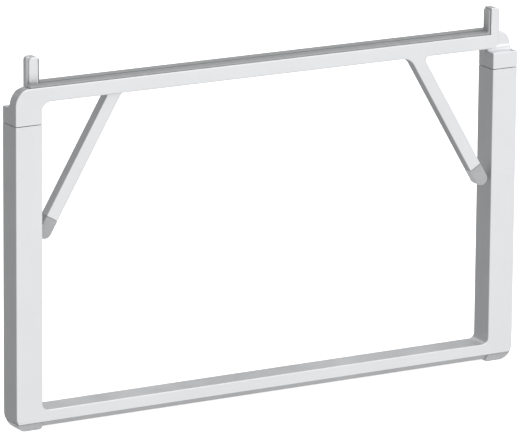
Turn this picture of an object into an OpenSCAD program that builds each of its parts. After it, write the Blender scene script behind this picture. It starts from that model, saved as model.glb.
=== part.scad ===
// Folding swing-arm stand: a U-shaped frame on two rubber feet, with two equal arms
// that lie folded in the plane of the frame and swing out on upright pins.
// The rear arm is the front arm turned half a turn about the upright centre axis.

/* [Frame] */
// Width of the frame over both posts
overall_w = 300; // [270:1:360]
// Depth of the frame, front face to back face
depth = 14.5; // [14:0.25:18]
// Width of each post
post_w = 15.2; // [14:0.2:20]
// Height of the bottom rail
rail_h = 9.2; // [8.6:0.1:12]
// Height of the underside of the rail above the table
rail_lift = 1.35; // [1:0.05:2.5]
// Height of the top of the posts above the table
post_top = 161.1; // [150:0.1:220]
// Radius of the outer bottom corners
outer_r = 7; // [6:0.5:8]
// Radius of the inner bottom corners
inner_r = 3.5; // [1:0.5:6]
// Bevel along the bottom edges of the rail, front and back
bevel = 3; // [2.5:0.25:3.5]

/* [Arms] */
// Thickness of an arm, a little under half the depth of the frame
arm_t = 7; // [6:0.1:7]
// Hairline gap between a post and the hinge block on it
seam = 0.3; // [0.2:0.05:0.6]
// Height of the full-depth hinge block
block_h = 8.6; // [7.5:0.1:12]
// Gap between the top of a hinge block and the underside of a bar
bar_gap = 2.65; // [2:0.05:5]
// Height of the bar
bar_h = 7.65; // [6.5:0.05:9]
// Radius of the outer corner of an arm
corner_r = 8.5; // [7:0.5:9]
// Radius of the inner corner of an arm
elbow_r = 5; // [3:0.5:6]
// Radius of the hollow where the leg stands on its block
saddle_r = 3; // [1:0.5:4]
// Radius of the underside of the free end
free_end_r = 5; // [2:0.5:6]
// Distance from the outer side of the far post to the end of the bar
end_inset = 11.7; // [9:0.1:14]

/* [Peg] */
// Width of the peg
peg_w = 5.1; // [4.5:0.1:7]
// Height of the peg above the bar
peg_h = 14.3; // [10:0.1:20]
// Radius of the outer top corner of the peg
peg_r = 2; // [1:0.25:2.25]

/* [Strut] */
// Angle of the strut from upright
strut_angle = 30.5; // [28:0.5:33]
// Width of the strut
strut_w = 7.2; // [6.4:0.1:8]
// Thickness of the strut
strut_t = 6.4; // [5.6:0.1:6.8]
// Distance from the centre of the stand to the strut's axis at the bar
strut_x = 87.5; // [84:0.5:89]
// Length of the strut from the underside of the bar to its rubber tip
strut_len = 73.9; // [60:0.1:75]
// Radius of the hollow under the strut's inner side
brace_r = 8; // [4:0.5:10]
// Radius of the hollow under the strut's outer side
crook_r = 2; // [2:0.2:2.4]

/* [Rubber parts] */
// Height of the liner above the bar
liner_h = 1.2; // [0.8:0.1:2]
// Distance of the liner from each face of the arm
liner_inset = 0.8; // [0.5:0.1:1]
// Distance of the top of the liner from the top of the peg
liner_top_gap = 0.9; // [0.5:0.1:2]
// Straight length of the rubber tip, before its round end
tip_len = 7.6; // [6:0.1:9]
// Length of a foot pad
pad_len = 14.5; // [13.5:0.1:14.7]
// Radius of the outer end of a foot pad
pad_r = 5.5; // [5:0.25:6]

/* [Hinges] */
// Radius of the hinge pin
pin_r = 3; // [2.8:0.1:3.2]
// Running clearance of the pin in its bushes, on the radius
pin_clearance = 0.05; // [0.02:0.01:0.1]
// Outer radius of the bushes
bush_r = 4; // [3.9:0.05:4.2]
// Radius of the flange of the upper bush
flange_r = 5.5; // [5.2:0.1:5.8]
// Thickness of the flange of the upper bush
flange_t = 1.2; // [0.8:0.1:1.6]
// Length of the upper bush
upper_bush_len = 12; // [10:0.5:12]
// Length of the lower bush
lower_bush_len = 6; // [4:0.5:6]
// Length of the pin below the top of the post
pin_drop = 31; // [31:0.5:36]
// Depth of the pin in the hinge block
pin_grip = 7; // [6:0.1:7]
// Thickness of the thrust washer
washer_t = 0.75; // [0.7:0.05:1]
// Radius of the retaining screw
screw_r = 1.5; // [1.25:0.25:1.5]

/* [Hidden] */
$fn = 96;
RING_WIRE_FN = 32;

EPS = 0.01;
// How far a cutting shape runs past what it cuts
OVER = 1;
half_w = overall_w / 2;
half_d = depth / 2;
hinge_x = half_w - post_w / 2;
inner_x = half_w - post_w;
rail_top = rail_lift + rail_h;
block_z0 = post_top + seam;
block_z1 = block_z0 + block_h;
bar_z0 = block_z1 + bar_gap;
bar_z1 = bar_z0 + bar_h;
peg_z1 = bar_z1 + peg_h;
bar_end = half_w - end_inset;
peg_x0 = bar_end - peg_w;
arm_back = -half_d + arm_t;

// Foot pads: the seat is cut this deep into the rail, and two studs hold the pad
seat_cut = 1;
pad_bevel_top = 0.15;
pad_foot_inset = 2.1;
pad_inset = 1.1;
pad_x1 = half_w - pad_inset;
pad_x0 = pad_x1 - pad_len;
stud_r = 1.5;
stud_h = 3.5;
stud_pitch = 6;
stud_inset = 4.6;
stud_x = pad_x0 + stud_inset;

// Liner: a tongue along its middle sits in a groove of the arm
tongue_w = 2;
tongue_h = 1;
liner_x0 = -half_w + corner_r;
liner_end_r = 0.8;

// Strut: its end is bored for the stud of the rubber tip
tip_stud_r = 1.5;
tip_stud_len = 6;

// Hinge parts, measured down from the top of the post
bore_below_pin = 0.6;
bore_depth = pin_drop + bore_below_pin;
groove_drop = 15.6;
groove_half = 1.2;
groove_r = 2.2;
screw_nose_r = 1;
screw_nose_tip = 2.4;
screw_nose_base = 4.4;
screw_sink = 0.4;
socket_across = 1.5;
socket_depth = 1.4;
hex_sides = 6;
ring_drop = 21.6;
ring_wire_r = 0.72;
ring_seat_r = 2.5;
ring_r = ring_seat_r + ring_wire_r;
ring_groove_half = 0.85;
pin_tip_bevel = 0.6;
washer_gap = 0.03;
washer_r = 5.4;
washer_seat = washer_t - seam + washer_gap;

ALU = [0.86, 0.87, 0.88];
RUBBER = [0.7, 0.71, 0.72];
STEEL = [0.62, 0.63, 0.65];
POLYMER = [0.3, 0.31, 0.33];

// Extrudes an outline drawn in X and Z from y0 (nearer the front) to y1
module through(y0, y1) {
    translate([0, y1, 0])
        rotate([90, 0, 0])
            linear_extrude(y1 - y0)
                children();
}

// Extrudes an outline drawn in Y and Z from x0 to x1
module along(x0, x1) {
    translate([x0, 0, 0])
        rotate([90, 0, 90])
            linear_extrude(x1 - x0)
                children();
}

// The waste outside a rounded convex corner at [x, z]; qx and qz point out of the corner
module corner_waste(x, z, r, qx, qz) {
    difference() {
        translate([x - (qx > 0 ? r : 0), z - (qz > 0 ? r : 0)])
            square(r);
        translate([x - qx * r, z - qz * r])
            circle(r);
    }
}

// The web that rounds a hollow corner at [x, z] between the directions a0 and a1, in degrees.
// It reaches EPS into the body along both sides.
module web(x, z, r, a0, a1) {
    half = (a1 - a0) / 2;
    run = r / tan(half);
    mid = (a0 + a1) / 2;
    corner = -r / sin(half) * [cos(mid), sin(mid)];
    grow = (r + EPS) / r;
    translate([x - corner.x, z - corner.y])
        difference() {
            polygon([
                grow * corner,
                grow * (corner + run * [cos(a0), sin(a0)]),
                [0, 0],
                grow * (corner + run * [cos(a1), sin(a1)])
            ]);
            circle(r);
        }
}

// Places a shape on the hinge axis of the left (side = -1) or right (side = 1) post
module at_hinge(side, z) {
    translate([side * hinge_x, 0, z])
        children();
}

// Turns a part of the front arm into the same part of the rear arm
module rear() {
    rotate([0, 0, 180])
        children();
}

// ---- Frame ----

module frame_outline() {
    difference() {
        translate([-half_w, rail_lift])
            square([overall_w, post_top - rail_lift]);
        difference() {
            translate([-inner_x, rail_top])
                square([2 * inner_x, post_top - rail_top + OVER]);
            corner_waste(-inner_x, rail_top, inner_r, -1, -1);
            corner_waste(inner_x, rail_top, inner_r, 1, -1);
        }
        corner_waste(-half_w, rail_lift, outer_r, -1, -1);
        corner_waste(half_w, rail_lift, outer_r, 1, -1);
    }
}

// Cross-section, in Y and Z, of the long bevel on the front (side = -1) or back (side = 1)
module bevel_waste(side) {
    edge = side * half_d;
    polygon([
        [edge, rail_lift - OVER],
        [edge + side * OVER, rail_lift - OVER],
        [edge + side * OVER, rail_lift + bevel],
        [edge, rail_lift + bevel],
        [edge - side * bevel, rail_lift],
        [edge - side * bevel, rail_lift - OVER]
    ]);
}

// Cross-section, in Y and Z, of the rail where a foot pad wraps it
module core_section() {
    low = half_d - bevel;
    polygon([
        [-half_d + seat_cut, rail_lift + bevel],
        [-low + seat_cut, rail_lift + seat_cut],
        [low - seat_cut, rail_lift + seat_cut],
        [half_d - seat_cut, rail_lift + bevel]
    ]);
}

// Cross-section, in Y and Z, of the seat that takes a foot pad
module pad_seat_section() {
    difference() {
        translate([-half_d - OVER, rail_lift - OVER])
            square([depth + 2 * OVER, bevel + OVER - pad_bevel_top]);
        core_section();
    }
}

module pad_studs(side) {
    for (k = [0, 1])
        translate([side * (stud_x + k * stud_pitch), 0, rail_lift + seat_cut - EPS])
            cylinder(r = stud_r, h = stud_h);
}

module hinge_bore(side) {
    at_hinge(side, post_top - bore_depth)
        cylinder(r = bush_r, h = bore_depth + OVER);
    at_hinge(side, post_top - flange_t)
        cylinder(r = flange_r, h = flange_t + OVER);
    at_hinge(side, post_top - groove_drop)
        rotate([-90, 0, 0])
            cylinder(r = screw_r, h = half_d + OVER);
}

module u_frame() {
    color(ALU)
        difference() {
            through(-half_d, half_d)
                frame_outline();
            for (side = [-1, 1]) {
                along(-half_w - OVER, half_w + OVER)
                    bevel_waste(side);
                hinge_bore(side);
                pad_studs(side);
            }
            along(-half_w - OVER, -pad_x0)
                pad_seat_section();
            along(pad_x0, half_w + OVER)
                pad_seat_section();
        }
}

// ---- Foot pads ----

// Outline of the right pad in X and Z: its outer end follows the corner of the frame
module pad_outline() {
    difference() {
        translate([pad_x0, 0])
            square([pad_len, rail_lift + bevel - pad_bevel_top]);
        corner_waste(pad_x1, 0, pad_r, 1, -1);
        corner_waste(pad_x0, 0, rail_lift, -1, -1);
    }
}

// Cross-section of a pad in Y and Z, before the rail is cut from it
module pad_section() {
    foot = half_d - pad_foot_inset;
    top = rail_lift + bevel - pad_bevel_top;
    polygon([
        [-half_d + pad_bevel_top, top],
        [-foot, 0],
        [foot, 0],
        [half_d - pad_bevel_top, top]
    ]);
}

// A cup that wraps the bevels, the underside and the rounded corner of the rail
module foot_pad(side) {
    color(RUBBER) {
        mirror([side < 0 ? 1 : 0, 0, 0])
            difference() {
                intersection() {
                    through(-half_d, half_d)
                        pad_outline();
                    along(pad_x0 - OVER, pad_x1 + OVER)
                        pad_section();
                }
                intersection() {
                    along(pad_x0 - OVER, half_w)
                        core_section();
                    through(-half_d, half_d)
                        frame_outline();
                }
            }
        pad_studs(side);
    }
}

module left_foot_pad() foot_pad(-1);
module right_foot_pad() foot_pad(1);

// ---- Hinge parts in the posts ----

module upper_bush(side) {
    color(POLYMER)
        difference() {
            union() {
                at_hinge(side, post_top - upper_bush_len)
                    cylinder(r = bush_r, h = upper_bush_len);
                at_hinge(side, post_top - flange_t)
                    cylinder(r = flange_r, h = flange_t);
            }
            at_hinge(side, post_top - upper_bush_len - OVER)
                cylinder(r = pin_r + pin_clearance, h = upper_bush_len + 2 * OVER);
        }
}

module lower_bush(side) {
    color(POLYMER)
        at_hinge(side, post_top - pin_drop)
            difference() {
                cylinder(r = bush_r, h = lower_bush_len);
                translate([0, 0, -OVER])
                    cylinder(r = pin_r + pin_clearance, h = lower_bush_len + 2 * OVER);
            }
}

// A set screw in the back of the post; its nose keeps the pin down
module retaining_screw(side) {
    color(STEEL)
        at_hinge(side, post_top - groove_drop)
            rotate([-90, 0, 0])
                difference() {
                    union() {
                        translate([0, 0, screw_nose_tip])
                            cylinder(r = screw_nose_r, h = screw_nose_base - screw_nose_tip + EPS);
                        translate([0, 0, screw_nose_base])
                            cylinder(r = screw_r, h = half_d - screw_sink - screw_nose_base);
                    }
                    translate([0, 0, half_d - screw_sink - socket_depth])
                        cylinder(d = socket_across / cos(180 / hex_sides), h = socket_depth + OVER,
                                 $fn = hex_sides);
                }
}

module left_upper_bush() upper_bush(-1);
module right_upper_bush() upper_bush(1);
module left_lower_bush() lower_bush(-1);
module right_lower_bush() lower_bush(1);
module left_retaining_screw() retaining_screw(-1);
module right_retaining_screw() retaining_screw(1);

// ---- Arm ----

// Leg, corner, bar and peg of the front arm, in X and Z
module arm_outline() {
    difference() {
        union() {
            translate([-half_w, block_z0])
                square([post_w, bar_z1 - block_z0]);
            translate([-half_w, bar_z0])
                square([half_w + bar_end, bar_h]);
            translate([peg_x0, bar_z1 - EPS])
                square([peg_w, peg_h + EPS]);
            web(-inner_x, bar_z0, elbow_r, -90, 0);
        }
        corner_waste(-half_w, bar_z1, corner_r, -1, 1);
        corner_waste(bar_end, bar_z0, free_end_r, 1, -1);
        corner_waste(bar_end, peg_z1, peg_r, 1, 1);
    }
}

// Moves a shape to the foot of the strut, with -Z along the strut
module at_strut_foot() {
    translate([strut_x, 0, bar_z0])
        rotate([0, -strut_angle, 0])
            translate([0, 0, -strut_len])
                children();
}

module strut_outline() {
    lean = strut_w / 2 / cos(strut_angle);
    translate([strut_x, bar_z0])
        rotate(strut_angle)
            translate([-strut_w / 2, -strut_len])
                square([strut_w, strut_len]);
    translate([strut_x - lean, bar_z0])
        square([2 * lean, EPS]);
    web(strut_x - lean, bar_z0, brace_r, 180, 270 + strut_angle);
    web(strut_x + lean, bar_z0, crook_r, -90 + strut_angle, 0);
    polygon([
        [strut_x - lean, bar_z0 - EPS],
        [strut_x + lean, bar_z0 - EPS],
        [strut_x + lean, bar_z0 + bar_h / 2],
        [strut_x - lean, bar_z0 + bar_h / 2]
    ]);
}

// The hinge block's back half, in Y and Z, with a hollow up to the back of the leg
module block_section() {
    translate([arm_back - EPS, block_z0])
        square([half_d - arm_back + EPS, block_h]);
    difference() {
        translate([arm_back - EPS, block_z1 - EPS])
            square([saddle_r + EPS, saddle_r + EPS]);
        translate([arm_back + saddle_r, block_z1 + saddle_r])
            circle(saddle_r);
    }
}

module liner_groove() {
    mid = -half_d + arm_t / 2;
    through(mid - tongue_w / 2, mid + tongue_w / 2) {
        translate([liner_x0 + liner_end_r, bar_z1 - tongue_h])
            square([peg_x0 - liner_x0 - liner_end_r + tongue_h, tongue_h + OVER]);
        translate([peg_x0 - OVER, bar_z1 - tongue_h])
            square([tongue_h + OVER, peg_h - liner_top_gap - liner_end_r + tongue_h]);
    }
}

module arm_frame() {
    color(ALU)
        difference() {
            union() {
                through(-half_d, arm_back)
                    arm_outline();
                through(-half_d, -half_d + strut_t)
                    strut_outline();
                intersection() {
                    through(-half_d, half_d)
                        arm_outline();
                    along(-half_w, -inner_x)
                        block_section();
                }
            }
            at_hinge(-1, block_z0 - OVER)
                cylinder(r = pin_r, h = pin_grip + OVER);
            at_hinge(-1, block_z0 - OVER)
                cylinder(r = flange_r, h = washer_seat + OVER);
            translate([0, -half_d + strut_t / 2, 0])
                at_strut_foot()
                    translate([0, 0, -OVER])
                        cylinder(r = tip_stud_r, h = tip_stud_len + OVER);
            liner_groove();
        }
}

// ---- Parts carried by an arm ----

// A plain pin with a groove for the retaining screw and a groove for the rubber ring
module hinge_pin() {
    top = block_z0 + pin_grip;
    bottom = post_top - pin_drop;
    groove_z = post_top - groove_drop;
    ring_z = post_top - ring_drop;
    color(STEEL)
        at_hinge(-1, 0)
            rotate_extrude()
                polygon([
                    [0, bottom],
                    [pin_r - pin_tip_bevel, bottom],
                    [pin_r, bottom + pin_tip_bevel],
                    [pin_r, ring_z - ring_groove_half],
                    [ring_seat_r, ring_z - ring_groove_half],
                    [ring_seat_r, ring_z + ring_groove_half],
                    [pin_r, ring_z + ring_groove_half],
                    [pin_r, groove_z - groove_half],
                    [groove_r, groove_z - groove_half],
                    [groove_r, groove_z + groove_half],
                    [pin_r, groove_z + groove_half],
                    [pin_r, top],
                    [0, top]
                ]);
}

// A rubber ring that drags lightly in the bore and keeps the arm where it is put
module pin_ring() {
    color(RUBBER)
        at_hinge(-1, post_top - ring_drop)
            rotate_extrude()
                translate([ring_r, 0])
                    circle(ring_wire_r, $fn = RING_WIRE_FN);
}

module thrust_washer() {
    color(POLYMER)
        at_hinge(-1, post_top + washer_gap)
            difference() {
                cylinder(r = washer_r, h = washer_t);
                translate([0, 0, -OVER])
                    cylinder(r = pin_r + pin_clearance, h = washer_t + 2 * OVER);
            }
}

// An L-shaped soft strip along the top of the bar and up the inner side of the peg
module bar_liner() {
    mid = -half_d + arm_t / 2;
    strip_top = peg_z1 - liner_top_gap;
    color(RUBBER) {
        through(-half_d + liner_inset, arm_back - liner_inset)
            difference() {
                union() {
                    translate([liner_x0, bar_z1])
                        square([peg_x0 - liner_x0, liner_h]);
                    translate([peg_x0 - liner_h, bar_z1])
                        square([liner_h, strip_top - bar_z1]);
                    web(peg_x0 - liner_h, bar_z1 + liner_h, liner_end_r, 90, 180);
                }
                corner_waste(liner_x0, bar_z1 + liner_h, liner_end_r, -1, 1);
                corner_waste(peg_x0 - liner_h, strip_top, liner_end_r, -1, 1);
            }
        through(mid - tongue_w / 2, mid + tongue_w / 2) {
            translate([liner_x0 + liner_end_r, bar_z1 - tongue_h])
                square([peg_x0 - liner_x0 - liner_end_r + tongue_h, tongue_h]);
            translate([peg_x0 - EPS, bar_z1 - tongue_h])
                square([tongue_h + EPS, peg_h - liner_top_gap - liner_end_r + tongue_h]);
        }
    }
}

module strut_tip() {
    color(RUBBER) {
        translate([strut_x, 0, bar_z0])
            rotate([0, -strut_angle, 0])
                through(-half_d, -half_d + strut_t)
                    translate([0, -strut_len - tip_len]) {
                        translate([-strut_w / 2, 0])
                            square([strut_w, tip_len]);
                        circle(d = strut_w);
                    }
        translate([0, -half_d + strut_t / 2, 0])
            at_strut_foot()
                translate([0, 0, -EPS])
                    cylinder(r = tip_stud_r, h = tip_stud_len + EPS);
    }
}

module front_arm_frame() arm_frame();
module front_hinge_pin() hinge_pin();
module front_pin_ring() pin_ring();
module front_thrust_washer() thrust_washer();
module front_bar_liner() bar_liner();
module front_strut_tip() strut_tip();
module rear_arm_frame() rear() arm_frame();
module rear_hinge_pin() rear() hinge_pin();
module rear_pin_ring() rear() pin_ring();
module rear_thrust_washer() rear() thrust_washer();
module rear_bar_liner() rear() bar_liner();
module rear_strut_tip() rear() strut_tip();

u_frame();
left_foot_pad();
right_foot_pad();
left_upper_bush();
left_lower_bush();
left_retaining_screw();
right_upper_bush();
right_lower_bush();
right_retaining_screw();
front_arm_frame();
front_hinge_pin();
front_pin_ring();
front_thrust_washer();
front_bar_liner();
front_strut_tip();
rear_arm_frame();
rear_hinge_pin();
rear_pin_ring();
rear_thrust_washer();
rear_bar_liner();
rear_strut_tip();
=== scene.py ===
"""A folding swing-arm stand in satin aluminium and grey rubber, built round its CAD frame."""

import math

import bmesh
import bpy
from mathutils import Matrix, Vector


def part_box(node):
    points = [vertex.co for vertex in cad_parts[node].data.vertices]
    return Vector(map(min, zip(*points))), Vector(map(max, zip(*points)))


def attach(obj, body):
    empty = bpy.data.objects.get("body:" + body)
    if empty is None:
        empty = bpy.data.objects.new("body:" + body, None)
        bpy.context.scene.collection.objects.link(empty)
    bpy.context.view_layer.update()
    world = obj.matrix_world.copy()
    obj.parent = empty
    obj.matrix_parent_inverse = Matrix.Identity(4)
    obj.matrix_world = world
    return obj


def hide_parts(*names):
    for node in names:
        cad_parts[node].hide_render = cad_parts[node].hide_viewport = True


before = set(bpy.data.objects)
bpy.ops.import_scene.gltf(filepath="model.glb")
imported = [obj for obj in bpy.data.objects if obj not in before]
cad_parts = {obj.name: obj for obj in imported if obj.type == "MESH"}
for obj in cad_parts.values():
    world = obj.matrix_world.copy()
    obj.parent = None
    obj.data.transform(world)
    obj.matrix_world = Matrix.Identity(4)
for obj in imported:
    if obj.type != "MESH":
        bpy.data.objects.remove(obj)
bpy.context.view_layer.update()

MM = 0.001
UP = Vector((0, 0, 1))
BACK = Vector((0, 1, 0))

# ---- Sizes ----

# Sizes that a node's box can't give, as in the CAD model
RAIL_H = 9.2 * MM
RAIL_BEVEL = 3 * MM
BEVEL_R = 1.2 * MM
OUTER_R = 7 * MM
INNER_R = 3.5 * MM
BAR_H = 7.65 * MM
PEG_W = 5.1 * MM
PEG_H = 14.3 * MM
PEG_R = 2 * MM
ARM_T = 7 * MM
SEAM = 0.3 * MM
BLOCK_H = 8.6 * MM
CORNER_R = 8.5 * MM
ELBOW_R = 5 * MM
SADDLE_R = 3 * MM
FREE_END_R = 5 * MM
STRUT_X = 87.5 * MM
STRUT_W = 7.2 * MM
STRUT_T = 6.4 * MM
STRUT_LEN = 73.9 * MM
STRUT_ANGLE = math.radians(30.5)
BRACE_R = 8 * MM
CROOK_R = 2 * MM
TIP_LEN = 7.6 * MM
LINER_H = 1.2 * MM
LINER_INSET = 0.8 * MM
LINER_TOP_GAP = 0.9 * MM
LINER_END_R = 0.8 * MM
PAD_SEAT = 1 * MM
PAD_STEP = 0.15 * MM
PAD_FOOT_INSET = 2.1 * MM
PAD_END_R = 5.5 * MM
PAD_INSET = 1.1 * MM
STUD_R = 1.5 * MM
STUD_INSET = 4.6 * MM
STUD_PITCH = 6 * MM
BUSH_R = 4 * MM
FLANGE_R = 5.5 * MM
FLANGE_T = 1.2 * MM
BORE_BELOW_PIN = 0.6 * MM
PIN_R = 3 * MM
PIN_GRIP = 7 * MM
WASHER_SEAT = 0.48 * MM
SCREW_R = 1.5 * MM

# Widths and steps of the softened edges, the angle from which an edge is softened, and the distance
# from a screw's axis within which none is
METAL_EDGE = 0.5 * MM
SEAM_EDGE = 0.14 * MM
RUBBER_EDGE = 0.35 * MM
EDGE_STEPS = 4
SHARP = math.radians(25)
SCREW_CLEAR = SCREW_R * 2

# The margin by which a cutting shape runs past what it cuts, and what counts as the same place
PAST = 2 * MM
NEAR = 0.01 * MM
MERGE = NEAR / 10

# The fineness of arcs and cylinders, and the share of a half-round end that its two arcs take up
ARC_STEP = math.radians(5)
ROUND_SIDES = 72
HALF_ROUND = 0.999

# How far large faces outweigh small ones in the shading: 50 is neutral, 100 the most
FACE_WEIGHT = 100

# Places, from the boxes of the CAD nodes
frame_low, frame_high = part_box("u_frame")
arm_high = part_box("front_arm_frame")[1]
liner_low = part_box("front_bar_liner")[0]
bush_low, bush_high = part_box("left_upper_bush")
pin_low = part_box("front_hinge_pin")[0]
screw_low, screw_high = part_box("left_retaining_screw")
pad_low, pad_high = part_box("right_foot_pad")

half_w = frame_high.x
half_d = frame_high.y
rail_bottom = frame_low.z
rail_top = rail_bottom + RAIL_H
pad_top = rail_bottom + RAIL_BEVEL - PAD_STEP
post_top = frame_high.z
hinge_x = (bush_low.x + bush_high.x) / 2
inner_x = half_w - 2 * (half_w + hinge_x)
block_bottom = post_top + SEAM
block_top = block_bottom + BLOCK_H
bar_top = arm_high.z - PEG_H
bar_bottom = bar_top - BAR_H
bar_end = arm_high.x
peg_inner = bar_end - PEG_W
peg_top = arm_high.z
arm_front = -half_d
arm_back = arm_front + ARM_T
strut_back = arm_front + STRUT_T
strut_down = Vector((math.sin(STRUT_ANGLE), -math.cos(STRUT_ANGLE)))
strut_across = Vector((math.cos(STRUT_ANGLE), math.sin(STRUT_ANGLE))) * STRUT_W / 2
strut_lean = STRUT_W / 2 / math.cos(STRUT_ANGLE)
strut_foot = Vector((STRUT_X, bar_bottom)) + strut_down * STRUT_LEN
screw_z = (screw_low.z + screw_high.z) / 2


# ---- Mesh tools ----


def rounded(corners):
    """A closed outline through corners (a, b, radius), with an arc where there is a radius."""
    outline = []
    for i, (a, b, radius) in enumerate(corners):
        here = Vector((a, b))
        if not radius:
            outline.append(here)
            continue
        before = (Vector(corners[i - 1][:2]) - here).normalized()
        after = (Vector(corners[(i + 1) % len(corners)][:2]) - here).normalized()
        half = before.angle(after) / 2
        centre = here + (before + after).normalized() * radius / math.sin(half)
        start = here + before * radius / math.tan(half) - centre
        end = here + after * radius / math.tan(half) - centre
        turn = start.angle_signed(end)
        steps = max(2, round(abs(turn) / ARC_STEP))
        for k in range(steps + 1):
            outline.append(centre + Matrix.Rotation(-turn * k / steps, 2) @ start)
    return outline


def prism(name, outline, low, high, axis="Y"):
    """A closed object: an outline in X and Z run along Y, or one in Y and Z run along X."""
    bm = bmesh.new()
    rings = []
    for along in (low, high):
        place = (lambda p: (p.x, along, p.y)) if axis == "Y" else (lambda p: (along, p.x, p.y))
        rings.append([bm.verts.new(place(p)) for p in outline])
    bm.faces.new(rings[0])
    bm.faces.new(reversed(rings[1]))
    for i in range(len(outline)):
        bm.faces.new((rings[0][i - 1], rings[1][i - 1], rings[1][i], rings[0][i]))
    return solid(name, bm)


def rod(name, radius, start, direction, length, end_radius=None):
    """A closed cylinder or cone from start along direction."""
    bm = bmesh.new()
    bmesh.ops.create_cone(
        bm,
        cap_ends=True,
        segments=ROUND_SIDES,
        radius1=radius,
        radius2=radius if end_radius is None else end_radius,
        depth=length,
    )
    turn = Vector(direction).to_track_quat("Z", "Y").to_matrix().to_4x4()
    place = Matrix.Translation(Vector(start) + Vector(direction) * length / 2)
    bm.transform(place @ turn)
    return solid(name, bm)


def solid(name, bm):
    """The mesh as a new object, with its faces pointing outwards."""
    bmesh.ops.recalc_face_normals(bm, faces=bm.faces)
    if bm.calc_volume(signed=True) < 0:
        bmesh.ops.reverse_faces(bm, faces=bm.faces)
    mesh = bpy.data.meshes.new(name)
    bm.to_mesh(mesh)
    bm.free()
    obj = bpy.data.objects.new(name, mesh)
    bpy.context.scene.collection.objects.link(obj)
    return obj


def evaluated(obj):
    """Puts what obj's modifiers make of it in place of its mesh."""
    graph = bpy.context.evaluated_depsgraph_get()
    mesh = bpy.data.meshes.new_from_object(obj.evaluated_get(graph))
    obj.modifiers.clear()
    obj.data = mesh
    return obj


def combine(obj, operation, *others):
    """Joins others to obj (UNION), cuts them away (DIFFERENCE) or keeps the overlap (INTERSECT)."""
    for other in others:
        modifier = obj.modifiers.new("combine", "BOOLEAN")
        modifier.operation = operation
        modifier.solver = "EXACT"
        modifier.object = other
        evaluated(obj)
        bpy.data.objects.remove(other)
    bm = bmesh.new()
    bm.from_mesh(obj.data)
    bmesh.ops.remove_doubles(bm, verts=bm.verts, dist=MERGE)
    bmesh.ops.dissolve_degenerate(bm, dist=MERGE, edges=bm.edges)
    bm.to_mesh(obj.data)
    bm.free()
    return obj


def soften(obj, width, width_at=None):
    """Rounds the outer edges to width, or to the larger of width_at's values at the two ends."""
    bm = bmesh.new()
    bm.from_mesh(obj.data)
    weights = bm.edges.layers.float.new("bevel_weight_edge")
    for edge in bm.edges:
        if len(edge.link_faces) == 2 and edge.calc_face_angle_signed() > SHARP:
            wanted = max(width_at(v.co) for v in edge.verts) if width_at else width
            edge[weights] = wanted / width
    bm.to_mesh(obj.data)
    bm.free()
    bevel = obj.modifiers.new("soft_edges", "BEVEL")
    bevel.limit_method = "WEIGHT"
    bevel.width = width
    bevel.segments = EDGE_STEPS
    bevel.use_clamp_overlap = False
    return evaluated(obj)


def metal_edge(seam):
    """Edge width at a point of a part that meets another at height seam.

    The edges of bores, screw holes and pad seats stay sharp.
    """

    def width_at(point):
        from_axis = math.hypot(abs(point.x) + hinge_x, point.y)
        if from_axis < FLANGE_R + NEAR and abs(point.y) < FLANGE_R + NEAR:
            return 0
        if math.hypot(abs(point.x) + hinge_x, point.z - screw_z) < SCREW_CLEAR:
            return 0
        if abs(point.x) > pad_low.x - NEAR and point.z < pad_top + NEAR:
            return 0
        return SEAM_EDGE if abs(point.z - seam) < NEAR else METAL_EDGE

    return width_at


def shaded(obj):
    """Smooth shading that keeps the large flat faces flat."""
    obj.data.shade_smooth()
    normals = obj.modifiers.new("flat_faces", "WEIGHTED_NORMAL")
    normals.weight = FACE_WEIGHT
    return evaluated(obj)


def half_turn(obj):
    """Turns a part of the front arm into the same part of the rear arm."""
    obj.data.transform(Matrix.Rotation(math.pi, 4, "Z"))
    return obj


def finished(obj, body, node, material):
    """Gives a piece its material and the body it belongs to, and hides the node it replaces."""
    shaded(obj)
    obj.data.materials.clear()
    obj.data.materials.append(material)
    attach(obj, body)
    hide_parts(node)
    return obj


# ---- Materials ----

# What the two noises look like, the part of their range that is used, and the strength of the grain
PATCHES = {"Detail": 4.0, "Roughness": 0.6}
GRAIN = {"Detail": 2.0, "Roughness": 0.5}
NOISE_LOW = 0.3
NOISE_HIGH = 0.7
GRAIN_STRENGTH = 0.6


def new_material(name):
    """A node material, with a function that adds a node and one that joins two sockets."""
    material = bpy.data.materials.new(name)
    material.use_nodes = True
    nodes, links = material.node_tree.nodes, material.node_tree.links
    shader = nodes["Principled BSDF"]

    def add(kind, **inputs):
        node = nodes.new("ShaderNode" + kind)
        for key, value in inputs.items():
            node.inputs[key.replace("_", " ")].default_value = value
        return node

    return material, shader, add, links.new


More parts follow.
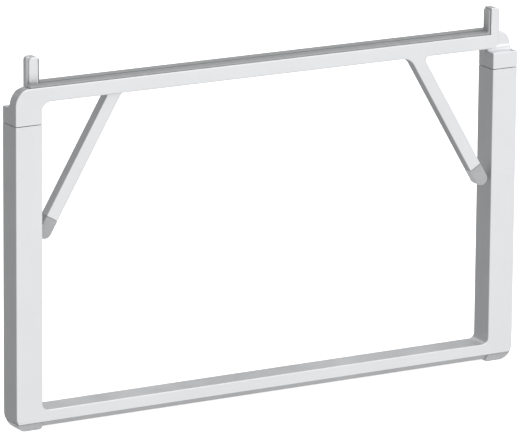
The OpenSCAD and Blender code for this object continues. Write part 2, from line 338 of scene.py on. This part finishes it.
def surface(name, tones, roughness, metallic, patch, grain, grain_height, specks=0.0):
    """A surface with slow patches of tone, an uneven sheen and a fine grain.

    tones are its two extreme colours, roughness its two extremes, patch and grain the size of the
    patches and of the grain, and specks the share of small darker specks.
    """
    material, shader, add, join = new_material(name)
    where = add("TexCoord").outputs["Object"]

    patches = add("TexNoise", Scale=1 / patch, **PATCHES)
    join(where, patches.inputs["Vector"])
    fine = add("TexNoise", Scale=1 / grain, **GRAIN)
    join(where, fine.inputs["Vector"])

    tone = add("ValToRGB")
    for stop, position, colour in zip(tone.color_ramp.elements, (NOISE_LOW, NOISE_HIGH), tones):
        stop.position = position
        stop.color = (*colour, 1)
    mixed = add("Mix", Factor=specks)
    mixed.data_type = "FLOAT"
    join(patches.outputs["Fac"], mixed.inputs["A"])
    join(fine.outputs["Fac"], mixed.inputs["B"])
    join(mixed.outputs["Result"], tone.inputs["Fac"])
    join(tone.outputs["Color"], shader.inputs["Base Color"])

    sheen = add("MapRange")
    sheen.inputs["From Min"].default_value = NOISE_LOW
    sheen.inputs["From Max"].default_value = NOISE_HIGH
    sheen.inputs["To Min"].default_value = roughness[0]
    sheen.inputs["To Max"].default_value = roughness[1]
    join(patches.outputs["Fac"], sheen.inputs["Value"])
    join(sheen.outputs["Result"], shader.inputs["Roughness"])

    bump = add("Bump", Strength=GRAIN_STRENGTH, Distance=grain_height)
    join(fine.outputs["Fac"], bump.inputs["Height"])
    join(bump.outputs["Normal"], shader.inputs["Normal"])
    shader.inputs["Metallic"].default_value = metallic
    return material


aluminium = surface(
    "satin_aluminium",
    tones=((0.80, 0.81, 0.825), (0.86, 0.87, 0.88)),
    roughness=(0.44, 0.52),
    metallic=1.0,
    patch=30 * MM,
    grain=0.35 * MM,
    grain_height=0.02 * MM,
    specks=0.35,
)
rubber = surface(
    "grey_rubber",
    tones=((0.31, 0.316, 0.322), (0.385, 0.391, 0.397)),
    roughness=(0.62, 0.78),
    metallic=0.0,
    patch=6 * MM,
    grain=0.25 * MM,
    grain_height=0.05 * MM,
    specks=0.5,
)
steel = surface(
    "ground_steel",
    tones=((0.50, 0.51, 0.53), (0.66, 0.67, 0.69)),
    roughness=(0.22, 0.34),
    metallic=1.0,
    patch=3 * MM,
    grain=0.15 * MM,
    grain_height=0.01 * MM,
    specks=0.3,
)
polymer = surface(
    "bearing_polymer",
    tones=((0.06, 0.062, 0.068), (0.10, 0.102, 0.108)),
    roughness=(0.45, 0.58),
    metallic=0.0,
    patch=4 * MM,
    grain=0.2 * MM,
    grain_height=0.03 * MM,
    specks=0.5,
)


# ---- Frame and foot pads ----


def frame_outline():
    """The frame's outline in X and Z: rail and two posts."""
    return rounded([
        (-half_w, rail_bottom, OUTER_R),
        (half_w, rail_bottom, OUTER_R),
        (half_w, post_top, 0),
        (inner_x, post_top, 0),
        (inner_x, rail_top, INNER_R),
        (-inner_x, rail_top, INNER_R),
        (-inner_x, post_top, 0),
        (-half_w, post_top, 0),
    ])


def core_corners():
    """Corners, in Y and Z, of the rail where a pad wraps it, up to the top of the pad."""
    low = half_d - RAIL_BEVEL - PAD_SEAT
    rise = RAIL_BEVEL / (RAIL_BEVEL - PAD_SEAT)
    wide = half_d - PAD_SEAT - PAD_STEP * rise
    return [
        Vector((wide, pad_top)),
        Vector((low, rail_bottom + PAD_SEAT)),
        Vector((-low, rail_bottom + PAD_SEAT)),
        Vector((-wide, pad_top)),
    ]


def frame_piece():
    """The U-shaped frame: bevelled rail, seats for the pads, and bored posts."""
    obj = prism("frame_body", frame_outline(), -half_d, half_d)
    for side in (-1, 1):
        edge = side * half_d
        outside = edge + side * PAST
        inside = edge - side * RAIL_BEVEL - side * PAST / 2
        bevel_top = rail_bottom + RAIL_BEVEL + BEVEL_R
        waste = rounded([
            (outside, rail_bottom - PAST, 0),
            (outside, bevel_top, 0),
            (edge, bevel_top, 0),
            (edge, rail_bottom + RAIL_BEVEL, BEVEL_R),
            (edge - side * RAIL_BEVEL, rail_bottom, BEVEL_R),
            (inside, rail_bottom, 0),
            (inside, rail_bottom - PAST, 0),
        ])
        combine(obj, "DIFFERENCE", prism("waste", waste, -half_w - PAST, half_w + PAST, "X"))
    seat = [
        Vector((-half_d - PAST, rail_bottom - PAST)),
        Vector((half_d + PAST, rail_bottom - PAST)),
        Vector((half_d + PAST, pad_top)),
        *core_corners(),
        Vector((-half_d - PAST, pad_top)),
    ]
    combine(
        obj,
        "DIFFERENCE",
        prism("left_seat", seat, -half_w - PAST, -pad_low.x, "X"),
        prism("right_seat", seat, pad_low.x, half_w + PAST, "X"),
        *studs(-1),
        *studs(1),
    )
    bore_bottom = pin_low.z - BORE_BELOW_PIN
    sink_y = half_d - METAL_EDGE
    for x in (hinge_x, -hinge_x):
        combine(
            obj,
            "DIFFERENCE",
            rod("bore", BUSH_R, (x, 0, bore_bottom), UP, post_top - bore_bottom + PAST),
            rod("flange_seat", FLANGE_R, (x, 0, post_top - FLANGE_T), UP, FLANGE_T + PAST),
            rod("screw_hole", SCREW_R, (x, 0, screw_z), BACK, half_d + PAST),
            rod("countersink", SCREW_R, (x, sink_y, screw_z), BACK, PAST, SCREW_R + PAST),
        )
    return soften(obj, METAL_EDGE, metal_edge(post_top))


def studs(side):
    """The two studs on a pad, from its upper face into the rail."""
    start = rail_bottom + PAD_SEAT - NEAR
    return [
        rod("stud", STUD_R, (side * (pad_low.x + along), 0, start), UP, pad_high.z - start)
        for along in (STUD_INSET, STUD_INSET + STUD_PITCH)
    ]


def pad_piece(name, side):
    """A rubber cup that wraps the bevels, the underside and the corner of the rail."""
    foot = half_d - PAD_FOOT_INSET
    rim = half_d - PAD_STEP
    profile = rounded([
        (pad_low.x, 0, rail_bottom),
        (half_w - PAD_INSET, 0, PAD_END_R),
        (half_w - PAD_INSET, pad_top + PAST, 0),
        (pad_low.x, pad_top + PAST, 0),
    ])
    section = [Vector(p) for p in ((-rim, pad_top), (-foot, 0), (foot, 0), (rim, pad_top))]
    obj = prism(name, profile, -half_d - PAST, half_d + PAST)
    combine(obj, "INTERSECT", prism("section", section, pad_low.x - PAST, pad_high.x + PAST, "X"))
    top_left, low_left, low_right, top_right = core_corners()
    above = Vector((0, PAST))
    core_section = [low_left, low_right, top_right, top_right + above, top_left + above, top_left]
    core = prism("core", core_section, pad_low.x - PAST, half_w + PAST, "X")
    combine(core, "INTERSECT", prism("limit", frame_outline(), -half_d - PAST, half_d + PAST))
    combine(obj, "DIFFERENCE", core)
    combine(obj, "UNION", *studs(1))
    if side < 0:
        half_turn(obj)
    return soften(obj, RUBBER_EDGE, lambda p: 0 if abs(p.z - pad_top) < NEAR else RUBBER_EDGE)


# ---- Arms and what they carry ----


def arm_outline():
    """The front arm's outline: leg, bar, peg and strut."""
    left_foot = strut_foot - strut_across
    right_foot = strut_foot + strut_across
    return rounded([
        (-half_w, block_bottom, 0),
        (-inner_x, block_bottom, 0),
        (-inner_x, bar_bottom, ELBOW_R),
        (STRUT_X - strut_lean, bar_bottom, BRACE_R),
        (left_foot.x, left_foot.y, 0),
        (right_foot.x, right_foot.y, 0),
        (STRUT_X + strut_lean, bar_bottom, CROOK_R),
        (bar_end, bar_bottom, FREE_END_R),
        (bar_end, peg_top, PEG_R),
        (peg_inner, peg_top, 0),
        (peg_inner, bar_top, 0),
        (-half_w, bar_top, CORNER_R),
    ])


def behind(face, bottom, top, radius=0):
    """Outline, in Y and Z, of what is cut away behind a face; radius is for its lower corner."""
    far = half_d + PAST
    return rounded([(face, bottom, radius), (far, bottom, 0), (far, top, 0), (face, top, 0)])


def arm_piece(name):
    """Leg, bar, peg, strut and full-depth hinge block of the front arm, in one piece."""
    obj = prism(name, arm_outline(), arm_front, half_d)
    over = peg_top + PAST
    behind_bar = behind(arm_back, 0, over)
    behind_leg = behind(arm_back, block_top, over, SADDLE_R)
    behind_strut = behind(strut_back, 0, bar_bottom)
    combine(
        obj,
        "DIFFERENCE",
        prism("behind_bar", behind_bar, -inner_x, bar_end + PAST, "X"),
        prism("behind_leg", behind_leg, -half_w - PAST, PAST - inner_x, "X"),
        prism("behind_strut", behind_strut, 0, bar_end - FREE_END_R, "X"),
    )
    start = (hinge_x, 0, block_bottom - PAST)
    combine(
        obj,
        "DIFFERENCE",
        rod("pin_bore", PIN_R, start, UP, PIN_GRIP + PAST),
        rod("washer_seat", FLANGE_R, start, UP, WASHER_SEAT + PAST),
    )
    return soften(obj, METAL_EDGE, metal_edge(block_bottom))


def liner_piece(name):
    """The soft strip along the top of the bar and up the inner side of the peg."""
    top = peg_top - LINER_TOP_GAP
    outline = rounded([
        (liner_low.x, bar_top, 0),
        (peg_inner, bar_top, 0),
        (peg_inner, top, 0),
        (peg_inner - LINER_H, top, LINER_END_R),
        (peg_inner - LINER_H, bar_top + LINER_H, LINER_END_R),
        (liner_low.x, bar_top + LINER_H, LINER_END_R),
    ])
    obj = prism(name, outline, arm_front + LINER_INSET, arm_back - LINER_INSET)
    return soften(obj, RUBBER_EDGE)


def tip_piece(name):
    """The rubber end of the strut, with a half-round end."""
    end = strut_foot + strut_down * (TIP_LEN + STRUT_W / 2)
    end_r = STRUT_W / 2 * HALF_ROUND
    outline = rounded([
        (*(strut_foot + strut_across), 0),
        (*(strut_foot - strut_across), 0),
        (*(end - strut_across), end_r),
        (*(end + strut_across), end_r),
    ])
    obj = prism(name, outline, arm_front, strut_back)
    return soften(obj, RUBBER_EDGE)


finished(frame_piece(), "base", "u_frame", aluminium)
for side_name, side in (("left", -1), ("right", 1)):
    node = side_name + "_foot_pad"
    finished(pad_piece(side_name + "_pad", side), "base", node, rubber)

for end_name in ("front", "rear"):
    body = end_name + "_arm"
    for piece, node, slot, material in (
        (arm_piece(end_name + "_arm_body"), "_arm_frame", "arm", aluminium),
        (liner_piece(end_name + "_liner"), "_bar_liner", "liner", rubber),
        (tip_piece(end_name + "_tip"), "_strut_tip", "rubber", rubber),
    ):
        if end_name == "rear":
            half_turn(piece)
        finished(piece, body, end_name + node, material)

CAD_FINISHES = {"bush": polymer, "washer": polymer, "pin": steel, "screw": steel, "ring": rubber}
for name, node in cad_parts.items():
    last_word = name.rsplit("_", 1)[-1]
    if last_word in CAD_FINISHES:
        node.data.materials.clear()
        node.data.materials.append(CAD_FINISHES[last_word])


# ---- Camera ----

AZIMUTH = math.radians(-30.012)
ELEVATION = math.radians(14.227)
ROLL = math.radians(0.452)
CAMERA_PLACE = Vector((-1.39701, -2.41338, 0.80249))
LENS = 381.4
SENSOR = 36
CLIP_END = 20


def add_camera():
    """The photo's camera."""
    data = bpy.data.cameras.new("camera")
    data.lens = LENS
    data.sensor_width = SENSOR
    data.clip_end = CLIP_END
    camera = bpy.data.objects.new("camera", data)
    bpy.context.scene.collection.objects.link(camera)
    away = Vector((
        math.sin(AZIMUTH) * math.cos(ELEVATION),
        -math.cos(AZIMUTH) * math.cos(ELEVATION),
        math.sin(ELEVATION),
    ))
    right = Vector((math.cos(AZIMUTH), math.sin(AZIMUTH), 0))
    up = away.cross(right)
    rolled_right = right * math.cos(ROLL) + up * math.sin(ROLL)
    rolled_up = up * math.cos(ROLL) - right * math.sin(ROLL)
    turn = Matrix((rolled_right, rolled_up, away)).transposed()
    camera.matrix_world = Matrix.Translation(CAMERA_PLACE) @ turn.to_4x4()
    bpy.context.scene.camera = camera


# ---- Floor and light ----

# Strength of the world as light, from its dark to its bright side, and the power of the change
WORLD_DARK = 0.31
WORLD_BRIGHT = 1.0
WORLD_FALLOFF = 2
BRIGHT_SIDE = (0.35, -0.94, 0)
FLOOR_HALF = 6
FLOOR_TONE = 0.93
FLOOR_ROUGHNESS = 0.9
FLOOR_GLOW = 0.7

# Name, place, width and height, and power in watts of each light, and the point they face
LIGHTS = (
    ("key", (1.4, -2.6, 1.3), (2.6, 1.8), 12),
    ("top", (0.3, 0.4, 2.4), (2.6, 2.6), 28),
)
AIM = Vector((0, 0, 0.1))


def add_floor():
    """A pale floor with a slight glow, left out of reflections."""
    bm = bmesh.new()
    bmesh.ops.create_grid(bm, x_segments=1, y_segments=1, size=FLOOR_HALF)
    floor = solid("floor", bm)
    material, shader = new_material("pale_floor")[:2]
    shader.inputs["Base Color"].default_value = (FLOOR_TONE, FLOOR_TONE, FLOOR_TONE, 1)
    shader.inputs["Roughness"].default_value = FLOOR_ROUGHNESS
    shader.inputs["Emission Color"].default_value = (1, 1, 1, 1)
    shader.inputs["Emission Strength"].default_value = FLOOR_GLOW
    floor.data.materials.append(material)
    floor.visible_glossy = False


def add_area(name, place, size, power):
    """A rectangular light at place that faces the object."""
    data = bpy.data.lights.new(name, "AREA")
    data.shape = "RECTANGLE"
    data.size, data.size_y = size
    data.energy = power
    light = bpy.data.objects.new(name, data)
    bpy.context.scene.collection.objects.link(light)
    light.location = place
    light.rotation_mode = "QUATERNION"
    light.rotation_quaternion = (AIM - Vector(place)).to_track_quat("-Z", "Y")


def add_world():
    """White where the camera sees it, and as light a softer grey that is brighter in front."""
    world = bpy.data.worlds.new("studio")
    bpy.context.scene.world = world
    world.use_nodes = True
    nodes, links = world.node_tree.nodes, world.node_tree.links
    background = nodes["Background"]
    background.inputs["Color"].default_value = (1, 1, 1, 1)
    towards = nodes.new("ShaderNodeVectorMath")
    towards.operation = "DOT_PRODUCT"
    towards.inputs[1].default_value = BRIGHT_SIDE
    links.new(nodes.new("ShaderNodeTexCoord").outputs["Generated"], towards.inputs[0])
    share = nodes.new("ShaderNodeMapRange")
    share.inputs["From Min"].default_value = -1
    links.new(towards.outputs["Value"], share.inputs["Value"])
    eased = nodes.new("ShaderNodeMath")
    eased.operation = "POWER"
    eased.inputs[1].default_value = WORLD_FALLOFF
    links.new(share.outputs["Result"], eased.inputs[0])
    softer = nodes.new("ShaderNodeMapRange")
    softer.inputs["To Min"].default_value = WORLD_DARK
    softer.inputs["To Max"].default_value = WORLD_BRIGHT
    links.new(eased.outputs["Value"], softer.inputs["Value"])
    seen = nodes.new("ShaderNodeLightPath")
    strength = nodes.new("ShaderNodeMix")
    strength.inputs["B"].default_value = 1
    links.new(seen.outputs["Is Camera Ray"], strength.inputs["Factor"])
    links.new(softer.outputs["Result"], strength.inputs["A"])
    links.new(strength.outputs["Result"], background.inputs["Strength"])


add_camera()
add_floor()
add_world()
for light_settings in LIGHTS:
    add_area(*light_settings)
bpy.context.scene.view_settings.view_transform = "Standard"
